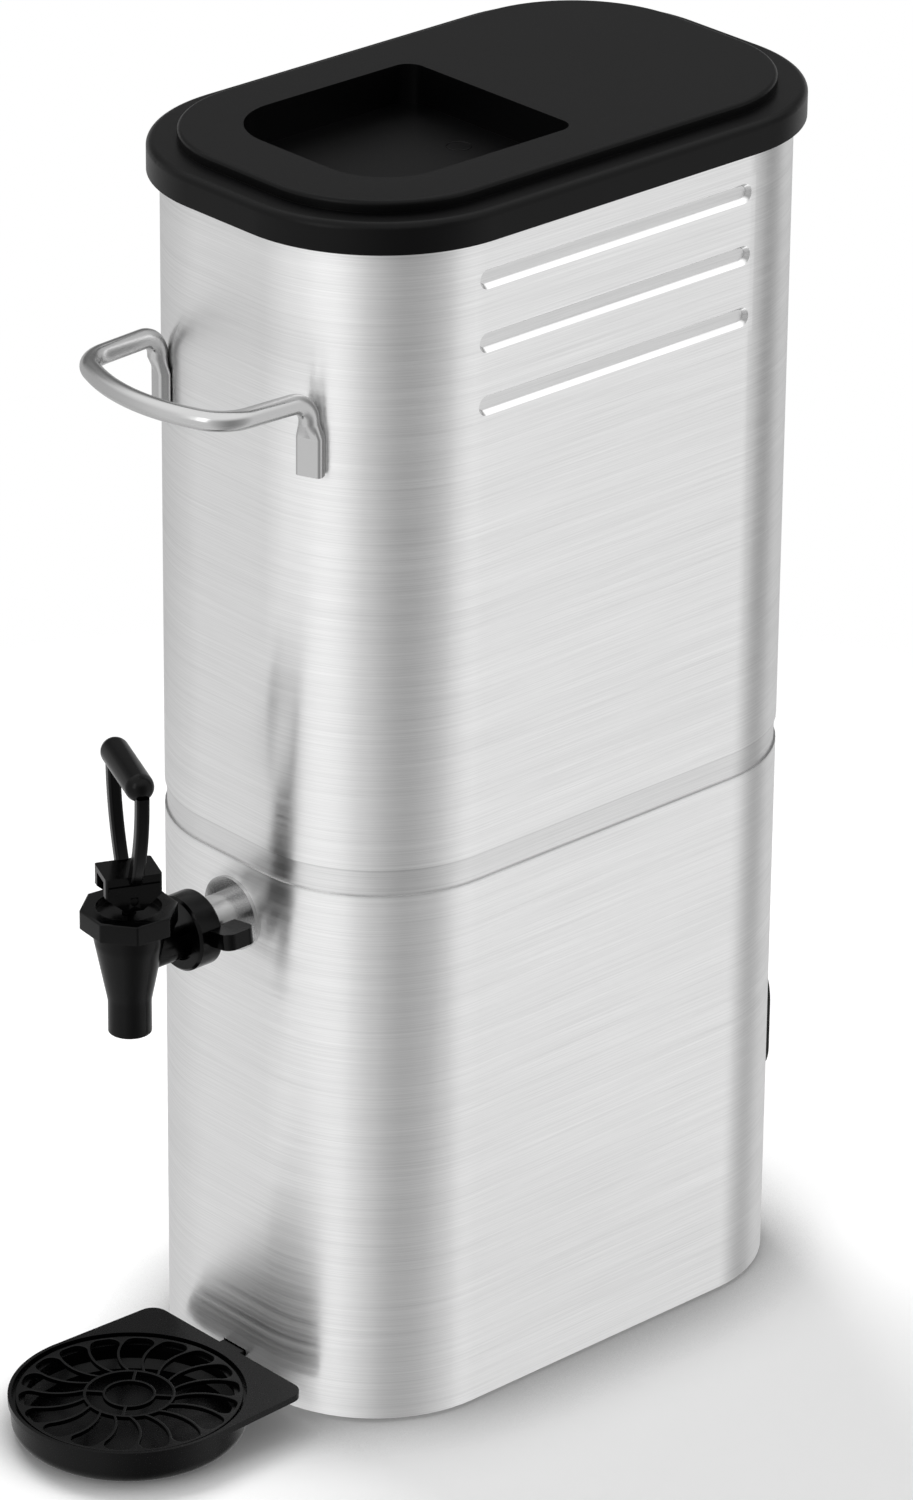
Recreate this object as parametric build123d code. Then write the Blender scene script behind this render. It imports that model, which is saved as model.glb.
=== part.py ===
"""Narrow countertop iced tea dispenser: stainless tank, lid, tap and drip tray.

Lengths are millimetres and angles are degrees. While it is modelled, the body is centred on
x = 0, y = 0, with the table at z = 0 and the tap towards -Y. The last step moves every piece
along Y, so that the frame's origin is the middle of the whole footprint at table level.
"""
import os
from math import asin, atan2, cos, degrees, hypot, radians, sin, tan

from build123d import *

# Body
body_width = 151.0
body_depth = 248.0
body_corner_radius = 57.0
body_bottom = 1.5
wall = 1.0
hem_height = 9.0

# Pressed grooves on the long sides and the shallow band round the body
rib_length = 138.0
rib_height = 8.0
rib_depth = 2.2
rib_slope = 35.0
rib_count = 3
rib_pitch = 24.9
rib_top_drop = 26.1
rib_overrun = 0.5
band_low = 227.8
band_height = 10.6
band_depth = 0.8

# Welded tank floor, higher at the back so that it drains to the tap
floor_front_z = 186.0
floor_back_z = 200.0
floor_skirt_low = 172.0

# Base cover and feet
cover_low = 3.0
cover_thickness = 1.2
cover_lip = 8.0
foot_radius = 9.0
foot_neck_radius = 3.0
foot_barb_radius = 4.2
foot_barb_height = 3.0
foot_inset_x = 27.5
foot_inset_y = 29.0

# Wire handle on the front
wire_radius = 3.9
wire_z = 429.0
leg_x = 41.0
leg_bottom = 399.0
leg_width = 10.6
leg_thickness = 5.2
leg_flat_top = 414.0
leg_round_low = 420.0
bend_radius = 8.0
loop_corner_x = 40.0
loop_corner_reach = 37.0
loop_front_reach = 52.0
loop_corner_radius = 16.0
loop_front_radius = 78.0

# Recessed hand grip in the back
grip_width = 94.0
grip_height = 48.0
grip_centre_z = 91.0
grip_corner = 14.0
grip_proud = 4.0
cup_width = 72.0
cup_height = 32.0
cup_corner = 9.0
cup_depth = 30.0
cup_wall = 2.0

# Steel shank that carries the tap
shank_z = 205.0
shank_radius = 9.25
shank_bore_radius = 7.7
shank_reach = 22.0
flange_radius = 14.7
flange_thickness = 1.5
nut_across_flats = 26.0
nut_thickness = 6.0
seal_thickness = 2.0
shank_tail = 3.0

# Wing nut
wing_ring_radius = 14.9
wing_ring_thread = 4.9
wing_ring_lip = 2.0
wing_lip_hole_radius = 10.4
wing_tip_radius = 25.5
wing_length = 14.0
wing_thickness = 6.4
wing_lift = 8.0
wing_corner = 4.0

# Tap body
tap_reach = 51.5
nozzle_low = 172.5
nozzle_radius = 8.35
nozzle_bore_radius = 6.5
nozzle_straight = 13.0
cone_top_z = 211.0
tap_body_top = 218.8
tap_body_radius = 13.4
tap_wall = 2.2
seat_low = 187.0
seat_z = 193.0
seat_hole_radius = 5.5
tail_radius = 6.0
tail_bore_radius = 3.6
tail_drop = 4.0
tail_disc_radius = 12.5
tail_disc_thickness = 2.0

# Bonnet nut on the tap body
bonnet_low = 216.8
bonnet_top = 224.8
bonnet_corner_radius = 18.9
bonnet_sides = 8
bonnet_turn = 15.0
bonnet_recess_radius = 12.4
bonnet_web = 1.5

# Valve parts
cup_flange_thickness = 1.5
cup_tube_radius = 6.3
cup_tube_bore_radius = 5.0
plug_radius = 6.6
plug_bottom = 1.5
plug_neck = 1.5
stem_radius = 2.5
stem_button_radius = 4.0
stem_button_height = 2.0
stem_eye_radius = 3.6
spring_wire_radius = 0.4
spring_radius = 3.95
spring_turns = 7

# Tap handle, turned about the tap's upright axis
handle_yaw = -24.0
pivot_z = 230.0
pivot_radius = 1.5
block_width = 16.1
block_length = 22.0
block_low = 232.5
block_top = 240.5
cam_bottom_z = 226.2
cam_bottom_length = 7.0
clevis_gap = 9.0
clevis_top = 238.3
ridge_z = 235.4
ridge_height = 1.6
ridge_proud = 0.7
ridge_arc_drop = 3.4
handle_leg_width = 5.2
handle_leg_depth = 5.0
handle_leg_foot = 9.0
handle_leg_middle = 17.4
handle_leg_spread = 19.6
grip_bar_radius = 5.6
grip_bar_span = 32.0
grip_bar_z = 281.5

# Drip tray and its grille
tray_gap = 2.7
tray_reach = 54.0
tray_plate_radius = 47.1
tray_rear_width = 90.0
tray_corner_radius = 6.5
tray_opening_radius = 45.6
tray_basin_radius = 46.0
tray_top = 15.5
tray_plate_thickness = 2.7
tray_wall = 2.2
tray_floor = 2.0
tray_edge_radius = 5.5
tray_inner_bevel = 3.0
ledge_width = 3.0
ledge_thickness = 2.3
tab_width = 12.0
tab_bite = 2.5
tab_clearance = 0.5
grille_gap = 1.5
grille_thickness = 1.9
grille_rim = 1.3
grille_hub_radius = 18.0
grille_hub_rim = 1.3
grille_eye_radius = 10.4
grille_eye_rim = 1.1
grille_ribs = 18
grille_rib_width = 1.2
grille_rib_bow = 4.2
grille_slot_round = 4.0
grille_spokes = 4
grille_spoke_turn = 41.5
grille_spoke_width = 1.1

# Lid
lid_overhang = 5.0
lid_skirt = 12.0
lid_top = 500.0
lid_wall = 2.2
lid_plate = 2.6
lid_edge_radius = 3.0
platform_inset = 11.5
platform_height = 4.5
platform_edge_radius = 1.6
rim_drop = 19.0
rim_thickness = 2.0
pocket_width = 92.0
pocket_length = 98.0
pocket_back_y = 6.0
pocket_front_radius = 27.0
pocket_back_radius = 7.0
pocket_sink = 11.0
pocket_wall = 2.0

# Clearances between pieces
running_clearance = 0.08
loose_clearance = 0.3
lid_clearance = 1.2
press_clearance = 0.05

body_top = lid_top - lid_plate - loose_clearance
rib_top_z = body_top - rib_top_drop
lid_low = lid_top - lid_skirt
rim_low = lid_top - rim_drop
pocket_floor_z = lid_top - pocket_sink
ledge_top = tray_top - tray_plate_thickness
foot_x = body_width / 2 - foot_inset_x
foot_y = body_depth / 2 - foot_inset_y
front_y = -body_depth / 2
back_y = body_depth / 2
tap_y = front_y - tap_reach
tray_y = front_y - tray_reach
corner_x = body_width / 2 - body_corner_radius
corner_y = body_depth / 2 - body_corner_radius


def slab(offset, low, high):
    """Upright prism on the body's outline, moved outwards by offset."""
    outline = RectangleRounded(
        body_width + 2 * offset, body_depth + 2 * offset, body_corner_radius + offset
    )
    return Pos(0, 0, low) * extrude(outline, high - low)


def ring(outer, inner, low, high):
    """Upright wall between two offsets of the body's outline."""
    return slab(outer, low, high) - slab(inner, low, high)


def rod(radius, low, high, x=0.0, y=0.0):
    """Upright round bar between two heights."""
    return Pos(x, y, (low + high) / 2) * Cylinder(radius, high - low)


def rod_along_y(radius, front, back, z, x=0.0):
    """Round bar along Y between two places."""
    return Pos(x, (front + back) / 2, z) * Rot(90, 0, 0) * Cylinder(radius, back - front)


def turned(points):
    """Solid of revolution about Z from radius and height points."""
    profile = Polyline(*[(r, 0, z) for r, z in points], close=True)
    return revolve(make_face(profile), Axis.Z)


def mirrored_x(shape):
    """The shape's mirror image on the other side of x = 0."""
    return mirror(shape, about=Plane.YZ)


def panel_along_y(width, height, corner, front, back, z):
    """Rounded rectangle facing Y, as a bar between two places."""
    face = Plane((0, back, z), x_dir=(-1, 0, 0), z_dir=(0, 1, 0)) * RectangleRounded(width, height, corner)
    return extrude(face, front - back)


def groove(grow):
    """Tapered stadium bars for the pressed grooves of one side, grown for the inner face.

    Each bar starts outside the wall by the overrun, and is wider there by the slope.
    """
    bars = []
    side_x = body_width / 2 - grow + rib_overrun
    widen = 2 * (grow + rib_overrun * tan(radians(rib_slope)))
    for index in range(rib_count):
        z = rib_top_z - index * rib_pitch
        plane = Plane((side_x, 0, z), x_dir=(0, 1, 0), z_dir=(-1, 0, 0))
        slot = plane * SlotOverall(rib_length + widen, rib_height + widen)
        bars.append(extrude(slot, rib_depth + rib_overrun, taper=rib_slope))
    return bars


def make_tank_body():
    """Drawn steel shell with grooves, band, rolled hem and its cut-outs."""
    band_high = band_low + band_height
    skin = slab(0, body_bottom, body_top) - ring(0, -band_depth, band_low, band_high)
    hollow = slab(-wall, body_bottom, body_top)
    hollow -= ring(-wall, -wall - band_depth, band_low - wall, band_high + wall)
    for bar in groove(0):
        skin -= [bar, mirrored_x(bar)]
    for bar in groove(wall):
        hollow -= [bar, mirrored_x(bar)]
    shell = skin - hollow
    shell += ring(-wall, -2 * wall, body_top - hem_height, body_top)
    shell -= rod_along_y(shank_radius + press_clearance, front_y - wall, front_y + 2 * wall, shank_z)
    slot_height = tray_plate_thickness + 2 * tab_clearance
    slot_z = tray_top - tray_plate_thickness / 2
    shell -= Pos(0, front_y, slot_z) * Box(tab_width + 2 * tab_clearance, 4 * wall, slot_height)
    room = 2 * loose_clearance
    shell -= panel_along_y(
        cup_width + 2 * cup_wall + room,
        cup_height + 2 * cup_wall + room,
        cup_corner + cup_wall + loose_clearance,
        back_y - body_corner_radius / 2,
        back_y + wall,
        grip_centre_z,
    )
    return shell


def make_tank_floor():
    """Sloping steel floor with its skirt turned down against the shell."""
    inner_depth = body_depth - 2 * wall
    slope = degrees(atan2(floor_back_z - floor_front_z, inner_depth))
    reach = 2 * body_depth

    def under(drop):
        plane = Pos(0, 0, (floor_front_z + floor_back_z) / 2 - drop) * Rot(slope, 0, 0)
        return plane * Pos(0, 0, -reach / 2) * Box(reach, reach, reach)

    solid = slab(-wall, floor_skirt_low, floor_back_z) & under(0)
    return solid - (slab(-2 * wall, floor_skirt_low, floor_back_z) & under(wall))


def foot_places():
    """Plan places of the four feet."""
    return [(x, y) for y in (-foot_y, foot_y) for x in (-foot_x, foot_x)]


def make_base_cover():
    """Pressed sheet that closes the bottom, with its lip turned up inside the shell."""
    cover = slab(-wall, cover_low, cover_low + cover_lip)
    cover -= slab(-wall - cover_thickness, cover_low + cover_thickness, cover_low + cover_lip)
    for x, y in foot_places():
        cover -= rod(foot_neck_radius + press_clearance, 0, cover_low + cover_lip, x, y)
    return cover


def make_foot(x, y):
    """Rubber foot pushed through its hole in the base cover."""
    plate_top = cover_low + cover_thickness
    foot = rod(foot_radius, 0, cover_low)
    foot = chamfer(foot.edges().group_by(Axis.Z)[0], foot_radius / 12)
    foot += rod(foot_neck_radius, cover_low, plate_top)
    barb = Cone(foot_barb_radius, foot_neck_radius - 1, foot_barb_height)
    foot += Pos(0, 0, plate_top + foot_barb_height / 2) * barb
    return Pos(x, y, 0) * foot


def make_front_handle():
    """Bent wire loop whose flattened legs are welded to the rounded front corners."""
    lean = asin((leg_x - corner_x) / body_corner_radius)
    root_y = -corner_y - body_corner_radius * cos(lean)

    def leg_plane(z):
        return Plane((leg_x, root_y, z), x_dir=(cos(lean), sin(lean), 0), z_dir=(0, 0, 1))

    flat = Pos(0, -leg_thickness / 2) * RectangleRounded(leg_width, leg_thickness, leg_thickness / 3)
    round_section = Pos(0, -wire_radius) * Circle(wire_radius)
    leg = extrude(leg_plane(leg_bottom) * flat, leg_flat_top - leg_bottom)
    leg += loft([leg_plane(leg_flat_top) * flat, leg_plane(leg_round_low) * round_section])
    start_x = leg_x + wire_radius * sin(lean)
    start_y = root_y - wire_radius * cos(lean)
    corner = front_y - loop_corner_reach
    points = [
        (start_x, start_y, leg_round_low),
        (start_x, start_y, wire_z),
        (loop_corner_x, corner, wire_z),
        (0, front_y - loop_front_reach, wire_z),
        (-loop_corner_x, corner, wire_z),
        (-start_x, start_y, wire_z),
        (-start_x, start_y, leg_round_low),
    ]
    radii = [
        bend_radius,
        loop_corner_radius,
        loop_front_radius,
        loop_corner_radius,
        bend_radius,
    ]
    path = FilletPolyline(*points, radius=radii)
    section = Plane(path @ 0, z_dir=path % 0) * Circle(wire_radius)
    wire = sweep(section, path=path)
    return wire + leg + mirrored_x(leg)


def make_rear_grip():
    """Moulded cup with a flange that follows the body's rounded back."""
    inside = back_y - cup_depth
    far = back_y + 2 * grip_proud
    flange = panel_along_y(
        grip_width, grip_height, grip_corner, back_y - body_corner_radius / 2, far, grip_centre_z
    )
    flange &= slab(grip_proud, 0, body_top)
    flange -= slab(0, 0, body_top)
    cup = panel_along_y(
        cup_width + 2 * cup_wall, cup_height + 2 * cup_wall, cup_corner + cup_wall, inside, far, grip_centre_z
    )
    cup &= slab(grip_proud, 0, body_top)
    hollow = panel_along_y(cup_width, cup_height, cup_corner, inside + cup_wall, far, grip_centre_z)
    return flange + cup - hollow


def make_shank():
    """Steel tube with an outer flange, through the front wall."""
    front = front_y - shank_reach
    back = front_y + wall + seal_thickness + nut_thickness + shank_tail
    tube = rod_along_y(shank_radius, front, back, shank_z)
    tube += rod_along_y(flange_radius, front_y - flange_thickness, front_y, shank_z)
    return tube - rod_along_y(shank_bore_radius, front - wall, back + wall, shank_z)


def make_shank_seal():
    """Soft washer between the front wall and the nut inside the tank."""
    front = front_y + wall
    seal = rod_along_y(flange_radius, front, front + seal_thickness, shank_z)
    return seal - rod_along_y(shank_radius, front - wall, front + seal_thickness + wall, shank_z)


def make_shank_nut():
    """Hexagonal nut inside the tank."""
    front = front_y + wall + seal_thickness
    hexagon = RegularPolygon(nut_across_flats / 2, 6, major_radius=False)
    nut = extrude(Plane((0, front, shank_z), x_dir=(1, 0, 0), z_dir=(0, 1, 0)) * hexagon, nut_thickness)
    bore = shank_radius + press_clearance
    return nut - rod_along_y(bore, front - wall, front + nut_thickness + wall, shank_z)


def make_wing_nut():
    """Threaded collar with two wings, which clamps the tap to the shank."""
    shank_front = front_y - shank_reach
    disc_back = shank_front - seal_thickness
    pocket_front = disc_back - tail_disc_thickness - loose_clearance
    front = pocket_front - wing_ring_lip
    back = shank_front + wing_ring_thread
    collar = rod_along_y(wing_ring_radius, front, back, 0)
    collar = chamfer(collar.edges().filter_by(GeomType.CIRCLE), wall)
    wing = Pos((wing_tip_radius + wing_ring_radius) / 2 - wall, back + loose_clearance, 0) * Box(
        wing_tip_radius - wing_ring_radius + 2 * wall, wing_length, wing_thickness
    )
    outer = wing.edges().filter_by(Axis.Z).group_by(Axis.X)[-1]
    wing = Rot(0, -wing_lift, 0) * fillet(outer, wing_corner)
    collar += [wing, Rot(0, 180, 0) * wing]
    collar -= rod_along_y(wing_lip_hole_radius, front - wall, front + wing_ring_lip + wall, 0)
    collar -= rod_along_y(tail_disc_radius + loose_clearance, pocket_front, shank_front, 0)
    collar -= rod_along_y(shank_radius + running_clearance, shank_front, back + wing_length, 0)
    return Pos(0, 0, shank_z) * collar


def make_tail_seal():
    """Soft washer between the tap's tail and the end of the shank."""
    back = front_y - shank_reach
    seal = rod_along_y(tail_disc_radius, back - seal_thickness, back, shank_z)
    return seal - rod_along_y(shank_bore_radius, back - 2 * seal_thickness, back + wall, shank_z)


def make_tap_body():
    """Tapered spout with its valve chamber, seat and tail."""
    shoulder = nozzle_low + nozzle_straight
    chamber_low_radius = seat_hole_radius + tap_wall
    outside = turned([
        (0, nozzle_low),
        (nozzle_radius, nozzle_low),
        (nozzle_radius, shoulder),
        (tap_body_radius, cone_top_z),
        (tap_body_radius, tap_body_top),
        (0, tap_body_top),
    ])
    inside = turned([
        (0, nozzle_low - wall),
        (nozzle_bore_radius, nozzle_low - wall),
        (nozzle_bore_radius, seat_low),
        (seat_hole_radius, seat_low),
        (seat_hole_radius, seat_z),
        (chamber_low_radius, seat_z),
        (tap_body_radius - tap_wall, cone_top_z),
        (tap_body_radius - tap_wall, tap_body_top + wall),
        (0, tap_body_top + wall),
    ])
    disc_back = front_y - shank_reach - seal_thickness
    tail_z = shank_z - tail_drop
    body = Pos(0, tap_y, 0) * outside
    body += rod_along_y(tail_radius, tap_y, disc_back, tail_z)
    body += rod_along_y(tail_disc_radius, disc_back - tail_disc_thickness, disc_back, shank_z)
    body -= Pos(0, tap_y, 0) * inside
    return body - rod_along_y(tail_bore_radius, tap_y, disc_back + wall, tail_z)


def make_bonnet_nut():
    """Eight-sided nut with a dished top, which holds the valve in the tap body."""
    flats = Rot(0, 0, bonnet_turn) * RegularPolygon(bonnet_corner_radius, bonnet_sides)
    nut = Pos(0, 0, bonnet_low) * extrude(flats, bonnet_top - bonnet_low)
    nut = chamfer(nut.edges().group_by(Axis.Z)[-1], wall / 2)
    web_low = tap_body_top + cup_flange_thickness
    nut -= rod(tap_body_radius + press_clearance, bonnet_low - wall, web_low)
    nut -= rod(bonnet_recess_radius, web_low + bonnet_web, bonnet_top + wall)
    nut -= rod(stem_radius + running_clearance, web_low - wall, bonnet_top)
    return Pos(0, tap_y, 0) * nut


def make_seat_cup():
    """Soft bell that closes the seat and seals the top of the valve chamber."""
    flange_top = tap_body_top + cup_flange_thickness
    pocket_low = seat_z + plug_bottom
    pocket_high = pocket_low + stem_button_height
    tube_low = pocket_high + plug_neck
    cup = turned([
        (0, seat_z),
        (plug_radius, seat_z),
        (plug_radius, pocket_high),
        (cup_tube_radius, tube_low),
        (cup_tube_radius, tap_body_top),
        (tap_body_radius - press_clearance, tap_body_top),
        (tap_body_radius - press_clearance, flange_top),
        (cup_tube_bore_radius, flange_top),
        (cup_tube_bore_radius, tube_low),
        (stem_radius + press_clearance, tube_low),
        (stem_radius + press_clearance, pocket_high),
        (stem_button_radius + press_clearance, pocket_high),
        (stem_button_radius + press_clearance, pocket_low),
        (0, pocket_low),
    ])
    return Pos(0, tap_y, 0) * cup


def make_valve_stem():
    """Stem with a button in the seat cup and an eye for the handle's pin."""
    button_low = seat_z + plug_bottom
    eye_width = clevis_gap - 2 * loose_clearance
    stem = rod(stem_button_radius, button_low, button_low + stem_button_height)
    stem += rod(stem_radius, button_low, pivot_z)
    stem += Pos(0, 0, pivot_z) * Rot(0, 90, 0) * Cylinder(stem_eye_radius, eye_width)
    stem -= Pos(0, 0, pivot_z) * Rot(0, 90, 0) * Cylinder(pivot_radius, 2 * eye_width)
    return Pos(0, tap_y, 0) * Rot(0, 0, handle_yaw) * stem


def make_valve_spring():
    """Compression spring round the stem, inside the seat cup."""
    low = seat_z + plug_bottom + stem_button_height + plug_neck + 2 * spring_wire_radius
    high = tap_body_top + cup_flange_thickness - 2 * spring_wire_radius
    path = Helix((high - low) / spring_turns, high - low, spring_radius)
    section = Plane(path @ 0, z_dir=path % 0) * Circle(spring_wire_radius)
    return Pos(0, tap_y, low) * sweep(section, path=path, is_frenet=True)


def make_tap_handle():
    """Clevis block with a bowed loop that carries the grip bar."""
    block = Pos(0, 0, (block_low + block_top) / 2) * Box(block_width, block_length, block_top - block_low)
    block = fillet(block.edges().filter_by(Axis.Z), wall)
    half, low_half = block_length / 2, cam_bottom_length / 2
    cam = Polyline(
        (0, -half, block_low),
        (0, half, block_low),
        (0, low_half, cam_bottom_z),
        (0, -low_half, cam_bottom_z),
        close=True,
    )
    block += Pos(-block_width / 2, 0, 0) * extrude(make_face(cam), block_width, dir=(1, 0, 0))
    gap_height = clevis_top - cam_bottom_z + wall
    gap = Pos(0, 0, clevis_top - gap_height / 2) * Box(clevis_gap, block_length + wall, gap_height)
    block -= gap
    half_ridge = half - wall
    chord = Line((0, half_ridge, ridge_z), (0, -half_ridge, ridge_z))
    sag = ThreePointArc((0, -half_ridge, ridge_z), (0, 0, ridge_z - ridge_arc_drop), (0, half_ridge, ridge_z))
    lens = extrude(make_face([chord, sag]), block_width / 2 + ridge_proud / 2, dir=(1, 0, 0))
    lens &= Pos(block_width / 2, 0, ridge_z) * Box(2 * ridge_proud, block_length, 2 * ridge_arc_drop)
    bar = Pos(block_width / 2, 0, ridge_z + ridge_height / 2) * Box(
        2 * ridge_proud, 2 * half_ridge, ridge_height
    )
    for trim in (lens, bar):
        block += [trim, mirrored_x(trim)]
    path = ThreePointArc(
        (handle_leg_foot, 0, block_top - wall),
        (handle_leg_middle, 0, (block_top + grip_bar_z) / 2 - wall),
        (handle_leg_spread, 0, grip_bar_z - grip_bar_radius / 2),
    )
    section = Plane(path @ 0, x_dir=(0, 1, 0), z_dir=path % 0) * RectangleRounded(
        handle_leg_depth, handle_leg_width, handle_leg_depth / 4
    )
    leg = sweep(section, path=path)
    bar = Pos(0, 0, grip_bar_z) * Rot(0, 90, 0) * Cylinder(grip_bar_radius, grip_bar_span)
    handle = block + leg + mirrored_x(leg) + bar
    for side in (-1, 1):
        handle += Pos(side * grip_bar_span / 2, 0, grip_bar_z) * Sphere(grip_bar_radius)
    bore = Cylinder(pivot_radius + running_clearance, block_width + wall)
    handle -= Pos(0, 0, pivot_z) * Rot(0, 90, 0) * bore
    return Pos(0, tap_y, 0) * Rot(0, 0, handle_yaw) * handle


def make_handle_pin():
    """Pin through the handle's clevis and the stem's eye."""
    pin = Pos(0, 0, pivot_z) * Rot(0, 90, 0) * Cylinder(pivot_radius, block_width - wall)
    return Pos(0, tap_y, 0) * Rot(0, 0, handle_yaw) * pin


def make_drip_tray():
    """Round basin with a tapering plate behind it and a tab that enters the body's slot."""
    rear = front_y - tray_gap
    rear_x = tray_rear_width / 2
    tail = make_face(Polyline(
        (-tray_plate_radius, tray_y),
        (tray_plate_radius, tray_y),
        (rear_x, rear),
        (-rear_x, rear),
        close=True,
    ))
    tail = fillet(tail.vertices().group_by(Axis.Y)[-1], tray_corner_radius)
    tab_length = tray_gap + wall + tab_bite
    outline = tail + Pos(0, tray_y) * Circle(tray_plate_radius)
    outline += Pos(0, rear + tab_length / 2) * Rectangle(tab_width, tab_length)
    plate = Pos(0, 0, ledge_top) * extrude(outline, tray_plate_thickness)
    basin = rod(tray_basin_radius, 0, ledge_top)
    basin = fillet(basin.edges().group_by(Axis.Z)[0], tray_edge_radius)
    bore = tray_basin_radius - tray_wall
    hollow = turned([
        (0, tray_floor),
        (bore - tray_inner_bevel, tray_floor),
        (bore, tray_floor + tray_inner_bevel),
        (bore, ledge_top - ledge_thickness),
        (bore - ledge_width, ledge_top - ledge_thickness),
        (bore - ledge_width, ledge_top),
        (tray_opening_radius, ledge_top),
        (tray_opening_radius, tray_top + wall),
        (0, tray_top + wall),
    ])
    return plate + Pos(0, tray_y, 0) * basin - Pos(0, tray_y, 0) * hollow


def make_drip_grille():
    """Round grille whose slots lie between bowed ribs and are round at their outer ends."""
    rim_radius = tray_opening_radius - grille_gap
    slot_radius = rim_radius - grille_rim
    hub_inner = grille_hub_radius - grille_hub_rim
    start = grille_hub_radius - grille_hub_rim / 2
    end = slot_radius + grille_rim / 2
    middle = (slot_radius + grille_hub_radius) / 2
    half = grille_rib_width / 2
    far = ThreePointArc((start, half), (middle, grille_rib_bow + half), (end, half))
    near = ThreePointArc((end, -half), (middle, grille_rib_bow - half), (start, -half))
    rib = make_face([far, Line(far @ 1, near @ 0), near, Line(near @ 1, far @ 0)])
    flat = Circle(rim_radius) - Circle(slot_radius)
    flat += Circle(grille_hub_radius) - Circle(hub_inner)
    for index in range(grille_ribs):
        flat += Rot(0, 0, index * 360 / grille_ribs) * rib
    slot_ends = [v for v in flat.vertices() if abs(hypot(v.X, v.Y) - slot_radius) < half]
    flat = fillet(slot_ends, grille_slot_round)
    flat += Circle(grille_eye_radius) - Circle(grille_eye_radius - grille_eye_rim)
    spoke_length = hub_inner - grille_eye_radius + grille_eye_rim
    spoke = Pos((hub_inner + grille_eye_radius) / 2, 0) * Rectangle(spoke_length, grille_spoke_width)
    for index in range(grille_spokes):
        flat += Rot(0, 0, grille_spoke_turn + index * 360 / grille_spokes) * spoke
    return Pos(0, tray_y, ledge_top) * extrude(flat, grille_thickness)


def pocket(grow, low, high):
    """Prism of the lid's pocket, square at the back and round at the front."""
    outline = Rectangle(pocket_width + 2 * grow, pocket_length + 2 * grow)
    corners = outline.vertices().group_by(Axis.Y)
    outline = fillet(corners[0], pocket_front_radius + grow)
    outline = fillet(outline.vertices().group_by(Axis.Y)[-1], pocket_back_radius + grow)
    return Pos(0, pocket_back_y - pocket_length / 2, low) * extrude(outline, high - low)


def make_lid():
    """Moulded lid with an overhanging skirt, a raised top, a pocket and a locating rim."""
    platform_top = lid_top + platform_height
    platform = lid_overhang - platform_inset
    plate_low = lid_top - lid_plate
    top = slab(lid_overhang, lid_low, lid_top)
    top = fillet(top.edges().group_by(Axis.Z)[-1], lid_edge_radius)
    deck = slab(platform, lid_top - lid_plate, platform_top)
    deck = fillet(deck.edges().group_by(Axis.Z)[-1], platform_edge_radius)
    lid = top + deck
    lid -= slab(lid_overhang - lid_wall, lid_low, plate_low)
    lid -= slab(platform - lid_wall, plate_low, platform_top - lid_plate)
    rim_outer = -2 * wall - lid_clearance
    lid += ring(rim_outer, rim_outer - rim_thickness, rim_low, plate_low + lid_plate / 2)
    lid += pocket(pocket_wall, pocket_floor_z - pocket_wall, platform_top - lid_plate / 2)
    return lid - pocket(0, pocket_floor_z, platform_top + wall)


pieces = {
    "tank_body": make_tank_body(),
    "tank_floor": make_tank_floor(),
    "base_cover": make_base_cover(),
    "front_handle": make_front_handle(),
    "rear_grip": make_rear_grip(),
    "shank": make_shank(),
    "shank_seal": make_shank_seal(),
    "shank_nut": make_shank_nut(),
    "wing_nut": make_wing_nut(),
    "tail_seal": make_tail_seal(),
    "tap_body": make_tap_body(),
    "bonnet_nut": make_bonnet_nut(),
    "seat_cup": make_seat_cup(),
    "valve_stem": make_valve_stem(),
    "valve_spring": make_valve_spring(),
    "tap_handle": make_tap_handle(),
    "handle_pin": make_handle_pin(),
    "drip_tray": make_drip_tray(),
    "drip_grille": make_drip_grille(),
    "lid": make_lid(),
}
for number, (foot_place_x, foot_place_y) in enumerate(foot_places(), start=1):
    pieces[f"foot_{number}"] = make_foot(foot_place_x, foot_place_y)

footprint_front = tray_y - tray_plate_radius
footprint_back = back_y + lid_overhang
to_origin = Pos(0, -(footprint_front + footprint_back) / 2, 0)

os.makedirs("parts", exist_ok=True)
for name, shape in pieces.items():
    export_step(to_origin * shape, f"parts/{name}.step")
print("body centre is at y =", round(to_origin.position.Y, 3))
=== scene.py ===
"""Looks of the iced tea dispenser: finishes, one small moulded mark, floor, light and camera.

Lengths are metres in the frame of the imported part: +Z up, the tap towards -Y. Azimuths are degrees
from -Y, positive towards +X.
"""
import math

import bpy
from mathutils import Matrix, Vector


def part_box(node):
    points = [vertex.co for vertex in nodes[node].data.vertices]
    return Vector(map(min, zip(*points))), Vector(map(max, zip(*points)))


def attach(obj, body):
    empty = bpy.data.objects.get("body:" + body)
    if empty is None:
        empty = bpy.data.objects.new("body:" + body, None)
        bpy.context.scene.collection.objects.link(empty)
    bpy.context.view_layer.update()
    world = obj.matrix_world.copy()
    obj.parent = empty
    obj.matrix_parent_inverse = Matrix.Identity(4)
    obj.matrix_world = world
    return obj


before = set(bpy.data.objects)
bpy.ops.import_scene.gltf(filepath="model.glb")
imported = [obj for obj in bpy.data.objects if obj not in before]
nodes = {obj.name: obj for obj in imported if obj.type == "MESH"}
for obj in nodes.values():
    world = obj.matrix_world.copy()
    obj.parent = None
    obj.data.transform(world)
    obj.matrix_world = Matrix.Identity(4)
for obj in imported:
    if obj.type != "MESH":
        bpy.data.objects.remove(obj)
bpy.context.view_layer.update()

MM = 0.001

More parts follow.
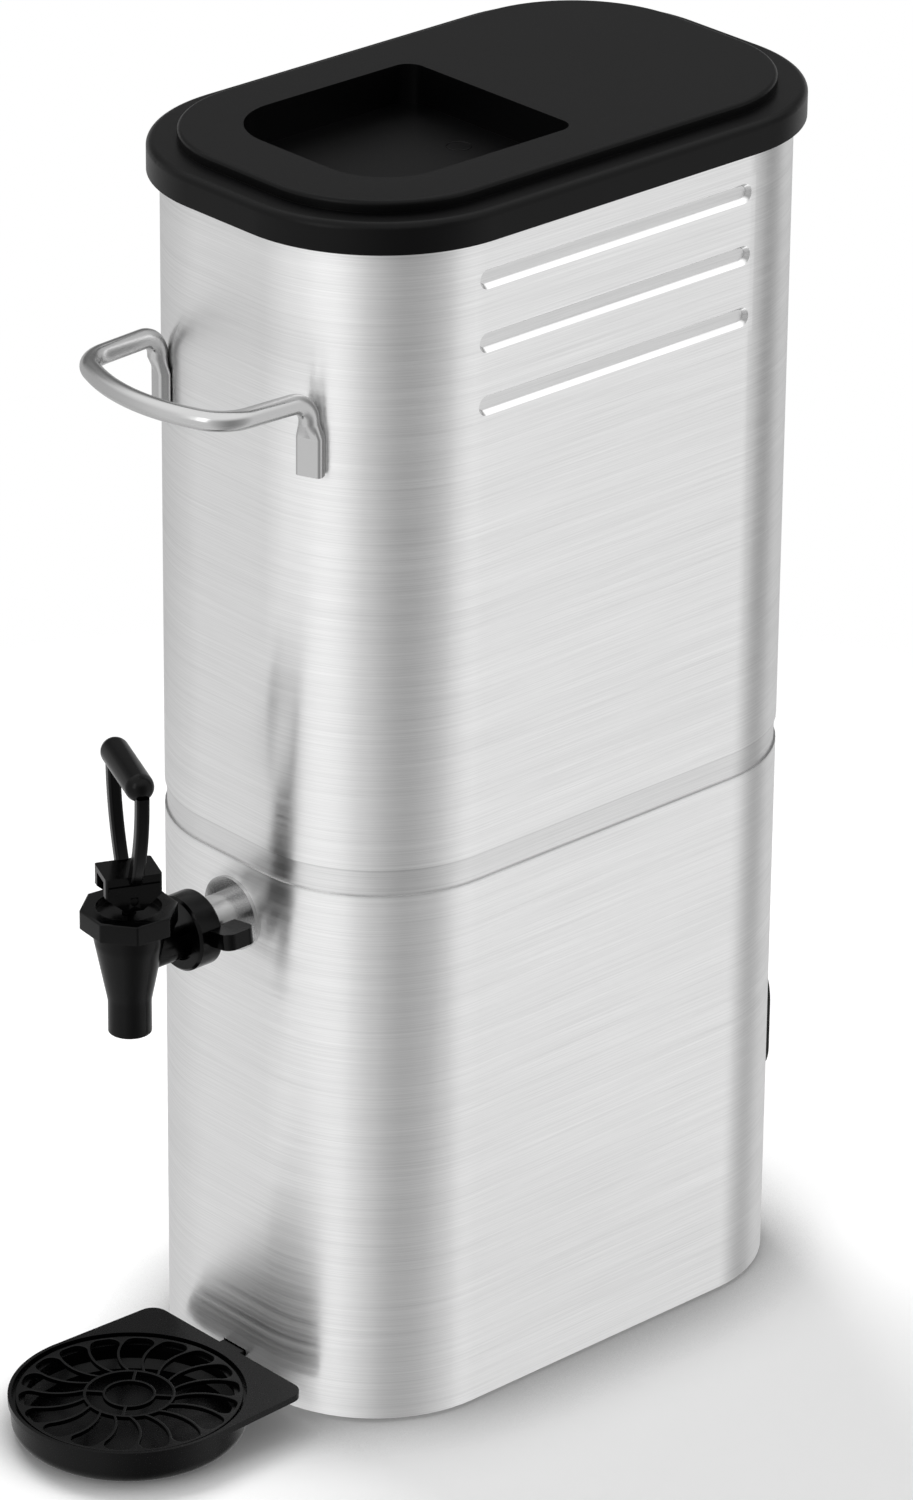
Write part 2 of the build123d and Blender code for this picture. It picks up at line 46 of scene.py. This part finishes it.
# Places on the part, measured from the body's box
body_low, body_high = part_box("tank_body")
body_y = (body_low.y + body_high.y) / 2
body_half_width = (body_high.x - body_low.x) / 2
groove_low_z, groove_high_z = body_high.z - 82 * MM, body_high.z - 19 * MM
groove_half_length = 69 * MM
groove_end_margin = 2 * MM
groove_floor_x = body_half_width - 2.1 * MM
band_low_z, band_high_z = 227.8 * MM, 238.4 * MM
pocket_floor_z = body_high.z - 8.1 * MM

# Brushed sheet. A noise has a scale per metre along x, y and z, a detail and a roughness.
STEEL_COLOUR = (0.88, 0.88, 0.88)
STEEL_DARK = (0.74, 0.74, 0.74)
STEEL_ROUGHNESS = 0.34
STEEL_ANISOTROPY = 0.8
BRUSHING_TURN = 0.25
FINE_GRAIN = ((14, 14, 2600), 4.0, 0.7)
BROAD_GRAIN = ((5, 5, 420), 3.0, 0.6)
STREAKS = ((9, 9, 1100), 3.0, 0.7)
STREAK_LEVELS = (0.95, 1.02)
ROUGHNESS_SPREAD = 0.05
BRUSHING_BUMP = (0.25, 0.05 * MM)

# Painted shade on the band round the body and painted dark lines along its two edges, and how far these
# edge lines reach outside and inside it
BAND_SHADE = 0.90
BAND_SOFTNESS = 0.4 * MM
BAND_EDGE_SHADE = 0.86
BAND_EDGE_SOFTNESS = 0.3 * MM
BAND_EDGE_INSIDE = 0.4 * MM
LOW_EDGE_OUTSIDE = 0.5 * MM
HIGH_EDGE_OUTSIDE = 0.3 * MM

# Pressed grooves: painted shade makes their floors darker, and a painted highlight makes their sloping
# walls brighter; the walls are also smoother
GROOVE_SHADE = 0.84
GROOVE_FLOOR_SOFTNESS = 0.4 * MM
GROOVE_END_SOFTNESS = 0.5 * MM
GROOVE_SIDE_SOFTNESS = 1.0 * MM
GROOVE_ROUNDING = 0.5
# Painted highlight: factor that brightens the sloping groove walls
WALL_PAINTED_HIGHLIGHT = 1.2
WALL_ROUGHNESS = 0.10
WALL_SLOPE_START, WALL_SLOPE_FULL = 0.15, 0.4

# Wire handle, spring and shank
WIRE_COLOUR = (0.50, 0.50, 0.50)
WIRE_ROUGHNESS = 0.20
SATIN_ROUGHNESS = 0.24
WIRE_GRAIN = ((4000, 4000, 4000), 2.0, 0.5)
WIRE_SMOOTHER, WIRE_ROUGHER = 0.04, 0.05
WIRE_BUMP = (0.02, 0.01 * MM)

# Moulded pieces
LID_COLOUR = (0.0014, 0.0014, 0.0015)
GLOSS_COLOUR = (0.0005, 0.0005, 0.0006)
SILICONE_COLOUR = (0.72, 0.71, 0.68)
RUBBER_COLOUR = (0.02, 0.02, 0.02)
MOULD_CLOUDS = ((30, 30, 30), 2.0, 0.5)
CLOUD_LIGHTER = 1.25
MOULD_GRAIN_DETAIL, MOULD_GRAIN_ROUGHNESS = 3.0, 0.6
MOULD_BUMP_DISTANCE = 0.05 * MM

# Rounding of sharp edges, in each piece that shows them, and the angles that count as sharp
EDGE_ROUNDING = {
    "tank_body": 0.35 * MM,
    "lid": 0.9 * MM,
    "rear_grip": 0.8 * MM,
    "tap_body": 0.35 * MM,
    "bonnet_nut": 0.5 * MM,
    "wing_nut": 0.6 * MM,
    "tap_handle": 0.6 * MM,
    "drip_tray": 0.4 * MM,
    "drip_grille": 0.3 * MM,
}
ROUNDING_SEGMENTS = 2
ROUNDED_ANGLE = 40
SHARP_ANGLE = 32
WELD_DISTANCE = 0.001 * MM

# Ring on the floor of the lid's pocket, its middle measured from the body's middle
MARK_X, MARK_Y = 3.0 * MM, -13.6 * MM
MARK_RADIUS = 4.7 * MM
MARK_WIRE_RADIUS = 0.25 * MM
MARK_SEGMENTS, MARK_WIRE_SEGMENTS = 64, 12

# Camera
CAMERA_FROM_BODY = (1.9066, -1.7677, 1.4661)
CAMERA_AZIMUTH = 47.31
CAMERA_ELEVATION = 25.35
CAMERA_ROLL = 0.56
CAMERA_SENSOR = 36.0
CAMERA_LENS = 177.4
CAMERA_CLIP_START, CAMERA_CLIP_END = 0.05, 50.0

# Surroundings: an even light, and for reflections a wall of brighter and darker upright bands, a
# bright ceiling above it and a darker patch behind the part. Heights are the upright part of a
# direction of length 1.
WORLD_STRENGTH = 0.56
OVERHEAD_LEVEL = 1.35
OVERHEAD_START, OVERHEAD_FULL = 0.35, 0.75
BACK_WALL_LEVEL = 0.35
BACK_WALL_AZIMUTHS = (-175.0, -95.0)
BACK_WALL_HEIGHTS = (0.18, 0.58)
BACK_WALL_TURN_SOFTNESS = 0.05
BACK_WALL_HEIGHT_SOFTNESS = 0.12
STUDIO_BANDS = [
    (-180.0, 0.72),
    (-150.0, 0.64),
    (-128.0, 0.60),
    (-95.0, 0.60),
    (-47.0, 0.80),
    (-24.0, 0.98),
    (-13.0, 1.45),
    (0.0, 1.68),
    (12.0, 1.25),
    (28.0, 0.85),
    (50.0, 0.50),
    (66.0, 0.35),
    (80.0, 0.40),
    (100.0, 0.58),
    (116.0, 1.0),
    (124.0, 1.25),
    (129.0, 1.7),
    (134.0, 1.15),
    (141.0, 1.0),
    (152.0, 0.32),
    (168.0, 0.30),
    (180.0, 0.72),
]

# Floor, and the painted contact shadow, a soft darkening from ambient occlusion that only the camera
# sees, where the part stands on it
FLOOR_COLOUR = (0.92, 0.92, 0.92)
FLOOR_ROUGHNESS = 0.9
FLOOR_RADIUS = 0.66
FLOOR_SIDES = 96
FLOOR_FADE_START = 0.34
FLOOR_FADE_END = FLOOR_RADIUS * 0.98
FLOOR_GLOW = 0.20
FLOOR_CLEARNESS = 0.8
CONTACT_REACH = 0.055
CONTACT_SHADE = 0.42
CONTACT_SAMPLES = 8
CONTACT_DARKEST, CONTACT_OPEN = 0.5, 0.92

# Soft lights: place, height of the target on the body's axis, width, height and power
KEY_LIGHT = ((-1.6, 0.4, 2.0), 0.2, 1.0, 1.0, 36)
FILL_LIGHT = ((0.3, -2.4, 1.4), 0.25, 1.0, 1.6, 8)


def add(tree, kind, **settings):
    """New shader node with the given properties."""
    node = tree.nodes.new(kind)
    for name, value in settings.items():
        setattr(node, name, value)
    return node


def feed(tree, value, socket):
    """Gives a socket a link or a constant."""
    if isinstance(value, bpy.types.NodeSocket):
        tree.links.new(value, socket)
    else:
        socket.default_value = value


def maths(tree, operation, *values):
    """Result of a math node on links and numbers."""
    node = add(tree, "ShaderNodeMath", operation=operation)
    for socket, value in zip(node.inputs, values):
        feed(tree, value, socket)
    return node.outputs[0]


def ranged(tree, value, low, high, from_low=0.3, from_high=0.7):
    """Value spread over a new range. The middle of a noise lies between 0.3 and 0.7."""
    node = add(tree, "ShaderNodeMapRange")
    node.inputs["From Min"].default_value = from_low
    node.inputs["From Max"].default_value = from_high
    node.inputs["To Min"].default_value = low
    node.inputs["To Max"].default_value = high
    tree.links.new(value, node.inputs["Value"])
    return node.outputs["Result"]


def inside_range(tree, value, low, high, soft):
    """1 between two limits, with soft ends."""
    rise = ranged(tree, value, 0.0, 1.0, low - soft, low)
    fall = ranged(tree, value, 1.0, 0.0, high, high + soft)
    return maths(tree, "MULTIPLY", rise, fall)


def level_inside(tree, mask, level):
    """The level where the mask is 1, and 1 where the mask is 0."""
    return maths(tree, "MULTIPLY_ADD", mask, level - 1.0, 1.0)


def axes(tree, vector):
    """The three parts of a vector."""
    parts = add(tree, "ShaderNodeSeparateXYZ")
    tree.links.new(vector, parts.inputs[0])
    return parts.outputs


def object_place(tree):
    """Place of the shaded point in its own piece."""
    return add(tree, "ShaderNodeTexCoord").outputs["Object"]


def surface_normal(tree):
    """Normal of the shaded point."""
    return add(tree, "ShaderNodeNewGeometry").outputs["Normal"]


def noise_on(tree, scale, detail, roughness):
    """Noise on the place in the piece, each axis with its own scale per metre."""
    mapping = add(tree, "ShaderNodeMapping")
    mapping.inputs["Scale"].default_value = scale
    noise = add(tree, "ShaderNodeTexNoise")
    noise.inputs["Scale"].default_value = 1.0
    noise.inputs["Detail"].default_value = detail
    noise.inputs["Roughness"].default_value = roughness
    tree.links.new(object_place(tree), mapping.inputs["Vector"])
    tree.links.new(mapping.outputs["Vector"], noise.inputs["Vector"])
    return noise.outputs["Fac"]


def mixed_colour(tree, factor, first, second):
    """Colour between two colours."""
    node = add(tree, "ShaderNodeMix", data_type="RGBA")
    node.inputs["A"].default_value = (*first, 1)
    node.inputs["B"].default_value = (*second, 1)
    tree.links.new(factor, node.inputs["Factor"])
    return node.outputs["Result"]


def scaled(tree, colour, factor):
    """Colour times a factor."""
    node = add(tree, "ShaderNodeVectorMath", operation="SCALE")
    feed(tree, colour, node.inputs[0])
    feed(tree, factor, node.inputs["Scale"])
    return node.outputs[0]


def bumped(tree, shader, height, strength, distance, normal=None):
    """Bump on the shader's normal, or on a given one."""
    bump = add(tree, "ShaderNodeBump")
    bump.inputs["Strength"].default_value = strength
    bump.inputs["Distance"].default_value = distance
    tree.links.new(height, bump.inputs["Height"])
    if normal:
        tree.links.new(normal, bump.inputs["Normal"])
    tree.links.new(bump.outputs["Normal"], shader.inputs["Normal"])


def new_material(name):
    """Empty material with its principled shader."""
    material = bpy.data.materials.new(name)
    material.use_nodes = True
    return material, material.node_tree, material.node_tree.nodes["Principled BSDF"]


def groove_area(tree, y, z):
    """1 over the grooves of both long sides."""
    reach = groove_half_length + groove_end_margin
    along = inside_range(tree, y, body_y - reach, body_y + reach, GROOVE_END_SOFTNESS)
    height = inside_range(tree, z, groove_low_z, groove_high_z, GROOVE_SIDE_SOFTNESS)
    return maths(tree, "MULTIPLY", along, height)


def groove_walls(tree, grooves):
    """1 on the sloping walls of the grooves."""
    upright = maths(tree, "ABSOLUTE", axes(tree, surface_normal(tree))["Z"])
    slope = ranged(tree, upright, 0.0, 1.0, WALL_SLOPE_START, WALL_SLOPE_FULL)
    return maths(tree, "MULTIPLY", slope, grooves)


def groove_floors(tree, x, grooves):
    """1 on the floors of the grooves."""
    limit = groove_floor_x
    depth = ranged(
        tree, maths(tree, "ABSOLUTE", x), 1.0, 0.0, limit, limit + GROOVE_FLOOR_SOFTNESS
    )
    return maths(tree, "MULTIPLY", depth, grooves)


def band_edges(tree, z):
    """1 along the band's lower and upper edge, where the painted dark lines go."""
    low = inside_range(
        tree, z, band_low_z - LOW_EDGE_OUTSIDE, band_low_z + BAND_EDGE_INSIDE, BAND_EDGE_SOFTNESS
    )
    high = inside_range(
        tree, z, band_high_z - BAND_EDGE_INSIDE, band_high_z + HIGH_EDGE_OUTSIDE, BAND_EDGE_SOFTNESS
    )
    return maths(tree, "MAXIMUM", low, high)


def painted_steel_shading(tree, x, z, grooves, walls):
    """Factor of painted light: painted shade on the groove floors, on the band round the body and on its
    edges, and a painted highlight on the groove walls.
    """
    band = inside_range(tree, z, band_low_z, band_high_z, BAND_SOFTNESS)
    shade = level_inside(tree, groove_floors(tree, x, grooves), GROOVE_SHADE)
    for mask, level in (
        (band, BAND_SHADE),
        (band_edges(tree, z), BAND_EDGE_SHADE),
        (walls, WALL_PAINTED_HIGHLIGHT),
    ):
        shade = maths(tree, "MULTIPLY", shade, level_inside(tree, mask, level))
    return shade


def pressed_normal(tree, x, grooves):
    """Normal that leans outwards on the walls of the grooves, as a pressed sheet's does."""
    lean = add(tree, "ShaderNodeCombineXYZ")
    side = maths(tree, "MULTIPLY", maths(tree, "SIGN", x), grooves)
    tree.links.new(maths(tree, "MULTIPLY", side, GROOVE_ROUNDING), lean.inputs["X"])
    total = add(tree, "ShaderNodeVectorMath", operation="ADD")
    tree.links.new(surface_normal(tree), total.inputs[0])
    tree.links.new(lean.outputs[0], total.inputs[1])
    unit = add(tree, "ShaderNodeVectorMath", operation="NORMALIZE")
    tree.links.new(total.outputs[0], unit.inputs[0])
    return unit.outputs[0]


def brushed_steel():
    """Stainless sheet with fine horizontal brushing."""
    material, tree, shader = new_material("brushed_stainless")
    fine = noise_on(tree, *FINE_GRAIN)
    broad = noise_on(tree, *BROAD_GRAIN)
    streaks = noise_on(tree, *STREAKS)
    x, y, z = axes(tree, object_place(tree))
    grooves = groove_area(tree, y, z)
    walls = groove_walls(tree, grooves)
    grain = mixed_colour(tree, ranged(tree, fine, 0.0, 1.0), STEEL_COLOUR, STEEL_DARK)
    # Painted shade on the groove floors, the band and its edges, and a painted highlight on the groove
    # walls
    shade = painted_steel_shading(tree, x, z, grooves, walls)
    shade = maths(tree, "MULTIPLY", shade, ranged(tree, streaks, *STREAK_LEVELS))
    roughness = ranged(
        tree, broad, STEEL_ROUGHNESS - ROUGHNESS_SPREAD, STEEL_ROUGHNESS + ROUGHNESS_SPREAD
    )
    smoother = maths(tree, "MULTIPLY", walls, WALL_ROUGHNESS - STEEL_ROUGHNESS)
    tangent = add(tree, "ShaderNodeTangent", direction_type="RADIAL", axis="Z")
    tree.links.new(scaled(tree, grain, shade), shader.inputs["Base Color"])
    tree.links.new(maths(tree, "ADD", roughness, smoother), shader.inputs["Roughness"])
    tree.links.new(tangent.outputs["Tangent"], shader.inputs["Tangent"])
    shader.inputs["Metallic"].default_value = 1.0
    shader.inputs["Anisotropic"].default_value = STEEL_ANISOTROPY
    shader.inputs["Anisotropic Rotation"].default_value = BRUSHING_TURN
    bumped(tree, shader, fine, *BRUSHING_BUMP, pressed_normal(tree, x, grooves))
    return material


def plain_steel(name, roughness):
    """Bright steel with a faint grain."""
    material, tree, shader = new_material(name)
    grain = noise_on(tree, *WIRE_GRAIN)
    finish = ranged(tree, grain, roughness - WIRE_SMOOTHER, roughness + WIRE_ROUGHER)
    tree.links.new(finish, shader.inputs["Roughness"])
    shader.inputs["Base Color"].default_value = (*WIRE_COLOUR, 1)
    shader.inputs["Metallic"].default_value = 1.0
    bumped(tree, shader, grain, *WIRE_BUMP)
    return material


def moulded(name, colour, roughness, specular, grain_scale, grain_strength):
    """Plastic or rubber with a fine surface texture."""
    material, tree, shader = new_material(name)
    grain = noise_on(tree, (grain_scale,) * 3, MOULD_GRAIN_DETAIL, MOULD_GRAIN_ROUGHNESS)
    clouds = ranged(tree, noise_on(tree, *MOULD_CLOUDS), 0.0, 1.0)
    lighter = tuple(channel * CLOUD_LIGHTER for channel in colour)
    finish = ranged(tree, grain, roughness - ROUGHNESS_SPREAD, roughness + ROUGHNESS_SPREAD)
    tree.links.new(mixed_colour(tree, clouds, colour, lighter), shader.inputs["Base Color"])
    tree.links.new(finish, shader.inputs["Roughness"])
    shader.inputs["Specular IOR Level"].default_value = specular
    bumped(tree, shader, grain, grain_strength, MOULD_BUMP_DISTANCE)
    return material


def smoothing_group(angle):
    """Geometry nodes that shade smooth below an angle and keep the edges above it."""
    group = bpy.data.node_groups.new("smooth_by_angle", "GeometryNodeTree")
    group.interface.new_socket("Geometry", in_out="INPUT", socket_type="NodeSocketGeometry")
    group.interface.new_socket("Geometry", in_out="OUTPUT", socket_type="NodeSocketGeometry")
    source = group.nodes.new("NodeGroupInput")
    result = group.nodes.new("NodeGroupOutput")
    edge_angle = group.nodes.new("GeometryNodeInputMeshEdgeAngle")
    sharp = group.nodes.new("FunctionNodeCompare")
    sharp.operation = "GREATER_THAN"
    sharp.inputs["B"].default_value = angle
    shade = group.nodes.new("GeometryNodeSetMeshNormal")
    shade.mode = "SHARPNESS"
    shade.inputs["Remove Custom"].default_value = True
    group.links.new(source.outputs[0], shade.inputs["Mesh"])
    group.links.new(edge_angle.outputs["Unsigned Angle"], sharp.inputs["A"])
    group.links.new(sharp.outputs["Result"], shade.inputs["Edge Sharpness"])
    group.links.new(shade.outputs["Mesh"], result.inputs[0])
    return group


def soften_edges(node, width, group):
    """Rounds the node's sharp edges by a width, if any, and shades it smooth between them."""
    weld = node.modifiers.new("weld", "WELD")
    weld.merge_threshold = WELD_DISTANCE
    if width > 0:
        bevel = node.modifiers.new("round_edges", "BEVEL")
        bevel.width = width
        bevel.segments = ROUNDING_SEGMENTS
        bevel.limit_method = "ANGLE"
        bevel.angle_limit = math.radians(ROUNDED_ANGLE)
        bevel.use_clamp_overlap = True
    smooth = node.modifiers.new("smooth", "NODES")
    smooth.node_group = group
    if width > 0:
        flat = node.modifiers.new("flat_faces", "WEIGHTED_NORMAL")
        flat.keep_sharp = True


def dress(names, material):
    """Gives CAD nodes their finish."""
    for name in names:
        for slot in nodes[name].material_slots:
            slot.material = material


def lid_floor_mark():
    """Thin raised ring on the floor of the lid's pocket."""
    bpy.ops.mesh.primitive_torus_add(
        major_radius=MARK_RADIUS,
        minor_radius=MARK_WIRE_RADIUS,
        major_segments=MARK_SEGMENTS,
        minor_segments=MARK_WIRE_SEGMENTS,
        location=(MARK_X, body_y + MARK_Y, pocket_floor_z),
    )
    mark = bpy.context.object
    mark.name = "lid_floor_mark"
    for face in mark.data.polygons:
        face.use_smooth = True
    return mark


def look_matrix(azimuth, elevation, roll):
    """Rotation of a camera that looks from an azimuth and elevation towards the part."""
    a, e = math.radians(azimuth), math.radians(elevation)
    back = Vector((math.sin(a) * math.cos(e), -math.cos(a) * math.cos(e), math.sin(e)))
    turn = back.to_track_quat("Z", "Y").to_matrix().to_4x4()
    return turn @ Matrix.Rotation(math.radians(roll), 4, "Z")


def make_camera():
    """Camera at the photograph's place."""
    data = bpy.data.cameras.new("camera")
    data.sensor_width = CAMERA_SENSOR
    data.lens = CAMERA_LENS
    data.clip_start, data.clip_end = CAMERA_CLIP_START, CAMERA_CLIP_END
    camera = bpy.data.objects.new("camera", data)
    place = Vector(CAMERA_FROM_BODY) + Vector((0, body_y, 0))
    look = look_matrix(CAMERA_AZIMUTH, CAMERA_ELEVATION, CAMERA_ROLL)
    camera.matrix_world = Matrix.Translation(place) @ look
    bpy.context.scene.collection.objects.link(camera)
    bpy.context.scene.camera = camera


def softbox(name, place, target_height, width, height, power):
    """Rectangular soft light that points at a height on the body's axis."""
    data = bpy.data.lights.new(name, "AREA")
    data.shape = "RECTANGLE"
    data.size, data.size_y = width, height
    data.energy = power
    light = bpy.data.objects.new(name, data)
    away = Vector(place) - Vector((0, body_y, target_height))
    turn = away.to_track_quat("Z", "Y").to_matrix().to_4x4()
    light.matrix_world = Matrix.Translation(place) @ turn
    bpy.context.scene.collection.objects.link(light)
    return light


def turn_share(azimuth):
    """Azimuth in degrees as a share of the full turn, with 0.5 at the front."""
    return azimuth / 360 + 0.5


def band_colour(tree, turn):
    """Brightness of the wall's upright bands at a share of the full turn."""
    ramp = add(tree, "ShaderNodeValToRGB")
    ramp.color_ramp.interpolation = "B_SPLINE"
    stops = ramp.color_ramp.elements
    while len(stops) < len(STUDIO_BANDS):
        stops.new(0.5)
    for stop, (azimuth, level) in zip(stops, STUDIO_BANDS):
        stop.position = turn_share(azimuth)
        stop.color = (level, level, level, 1)
    tree.links.new(turn, ramp.inputs["Fac"])
    return ramp.outputs["Color"]


def studio_world():
    """White background, an even light, and the surroundings that shiny surfaces reflect."""
    world = bpy.data.worlds.new("studio")
    world.use_nodes = True
    bpy.context.scene.world = world
    tree = world.node_tree
    link = tree.links.new

    x, y, z = axes(tree, add(tree, "ShaderNodeTexCoord").outputs["Generated"])
    angle = maths(tree, "ARCTAN2", x, maths(tree, "MULTIPLY", y, -1.0))
    turn = maths(tree, "MULTIPLY_ADD", angle, 1 / (2 * math.pi), 0.5)
    ceiling = add(tree, "ShaderNodeMix", data_type="RGBA")
    ceiling.inputs["B"].default_value = (OVERHEAD_LEVEL, OVERHEAD_LEVEL, OVERHEAD_LEVEL, 1)
    link(ranged(tree, z, 0.0, 1.0, OVERHEAD_START, OVERHEAD_FULL), ceiling.inputs["Factor"])
    link(band_colour(tree, turn), ceiling.inputs["A"])
    first, last = map(turn_share, BACK_WALL_AZIMUTHS)
    behind = inside_range(tree, turn, first, last, BACK_WALL_TURN_SOFTNESS)
    above = inside_range(tree, z, *BACK_WALL_HEIGHTS, BACK_WALL_HEIGHT_SOFTNESS)
    patch = level_inside(tree, maths(tree, "MULTIPLY", behind, above), BACK_WALL_LEVEL)
    reflected = add(tree, "ShaderNodeBackground")
    link(scaled(tree, ceiling.outputs["Result"], patch), reflected.inputs["Color"])

    even = tree.nodes["Background"]
    even.inputs["Color"].default_value = (1, 1, 1, 1)
    even.inputs["Strength"].default_value = WORLD_STRENGTH
    white = add(tree, "ShaderNodeBackground")
    white.inputs["Color"].default_value = (1, 1, 1, 1)

    rays = add(tree, "ShaderNodeLightPath").outputs
    inner = add(tree, "ShaderNodeMixShader")
    link(maths(tree, "MAXIMUM", rays["Is Glossy Ray"], rays["Is Transmission Ray"]), inner.inputs["Fac"])
    link(even.outputs[0], inner.inputs[1])
    link(reflected.outputs[0], inner.inputs[2])
    outer = add(tree, "ShaderNodeMixShader")
    link(rays["Is Camera Ray"], outer.inputs["Fac"])
    link(inner.outputs[0], outer.inputs[1])
    link(white.outputs[0], outer.inputs[2])
    link(outer.outputs[0], tree.nodes["World Output"].inputs["Surface"])


def floor_material():
    """White with a painted contact shadow where the part stands, fading out towards the floor's rim."""
    material, tree, shader = new_material("floor_white")
    link = tree.links.new
    rays = add(tree, "ShaderNodeLightPath").outputs
    # Painted contact shadow: ambient occlusion darkens the floor for camera rays
    contact = add(tree, "ShaderNodeAmbientOcclusion", samples=CONTACT_SAMPLES)
    contact.inputs["Distance"].default_value = CONTACT_REACH
    open_sky = ranged(
        tree, contact.outputs["AO"], CONTACT_SHADE, 1.0, CONTACT_DARKEST, CONTACT_OPEN
    )
    shade = maths(tree, "MAXIMUM", open_sky, maths(tree, "SUBTRACT", 1.0, rays["Is Camera Ray"]))
    seen = maths(tree, "MAXIMUM", rays["Is Camera Ray"], rays["Is Glossy Ray"])
    seen = maths(tree, "MAXIMUM", seen, rays["Is Transmission Ray"])
    glow = maths(tree, "MULTIPLY", maths(tree, "MULTIPLY", seen, shade), FLOOR_GLOW)
    link(scaled(tree, FLOOR_COLOUR, shade), shader.inputs["Base Color"])
    link(glow, shader.inputs["Emission Strength"])
    shader.inputs["Emission Color"].default_value = (1, 1, 1, 1)
    shader.inputs["Roughness"].default_value = FLOOR_ROUGHNESS
    shader.inputs["Specular IOR Level"].default_value = 0.0

    reach = add(tree, "ShaderNodeVectorMath", operation="LENGTH")
    link(object_place(tree), reach.inputs[0])
    fade = ranged(tree, reach.outputs["Value"], 0.0, 1.0, FLOOR_FADE_START, FLOOR_FADE_END)
    clearness = maths(tree, "MULTIPLY", rays["Is Glossy Ray"], FLOOR_CLEARNESS)
    mix = add(tree, "ShaderNodeMixShader")
    link(maths(tree, "MAXIMUM", fade, clearness), mix.inputs["Fac"])
    link(shader.outputs[0], mix.inputs[1])
    link(add(tree, "ShaderNodeBsdfTransparent").outputs[0], mix.inputs[2])
    link(mix.outputs[0], tree.nodes["Material Output"].inputs["Surface"])
    return material


def make_floor():
    """Round white floor that fades out into the white background."""
    bpy.ops.mesh.primitive_circle_add(vertices=FLOOR_SIDES, radius=FLOOR_RADIUS, fill_type="NGON")
    floor = bpy.context.object
    floor.name = "floor"
    floor.location = (0, body_y, 0)
    floor.data.materials.append(floor_material())


sheet_steel = brushed_steel()
wire_steel = plain_steel("polished_stainless", WIRE_ROUGHNESS)
satin_steel = plain_steel("satin_stainless", SATIN_ROUGHNESS)
lid_plastic = moulded(
    "lid_plastic", LID_COLOUR, roughness=0.34, specular=0.13, grain_scale=2200, grain_strength=0.30
)
tap_plastic = moulded(
    "tap_plastic", GLOSS_COLOUR, roughness=0.20, specular=0.14, grain_scale=900, grain_strength=0.04
)
tray_plastic = moulded(
    "tray_plastic", GLOSS_COLOUR, roughness=0.26, specular=0.14, grain_scale=1600, grain_strength=0.10
)
silicone = moulded(
    "silicone", SILICONE_COLOUR, roughness=0.45, specular=0.4, grain_scale=800, grain_strength=0.05
)
rubber = moulded(
    "foot_rubber", RUBBER_COLOUR, roughness=0.7, specular=0.3, grain_scale=1500, grain_strength=0.2
)

dress(["tank_body", "tank_floor", "base_cover"], sheet_steel)
dress(["front_handle", "valve_spring"], wire_steel)
dress(["shank", "shank_nut"], satin_steel)
dress(["lid", "rear_grip"], lid_plastic)
dress(["tap_body", "bonnet_nut", "wing_nut", "tap_handle", "valve_stem", "handle_pin"], tap_plastic)
dress(["drip_tray", "drip_grille"], tray_plastic)
dress(["shank_seal", "tail_seal", "seat_cup"], silicone)
dress([f"foot_{number}" for number in (1, 2, 3, 4)], rubber)

smooth_group = smoothing_group(math.radians(SHARP_ANGLE))
for name in sorted(nodes):
    soften_edges(nodes[name], EDGE_ROUNDING.get(name, 0.0), smooth_group)

mark = lid_floor_mark()
mark.data.materials.append(lid_plastic)
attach(mark, "lid")

studio_world()
make_floor()
key = softbox("key_left", *KEY_LIGHT)
key.visible_glossy = False
softbox("front_fill", *FILL_LIGHT)
make_camera()
bpy.context.scene.view_settings.view_transform = "Standard"
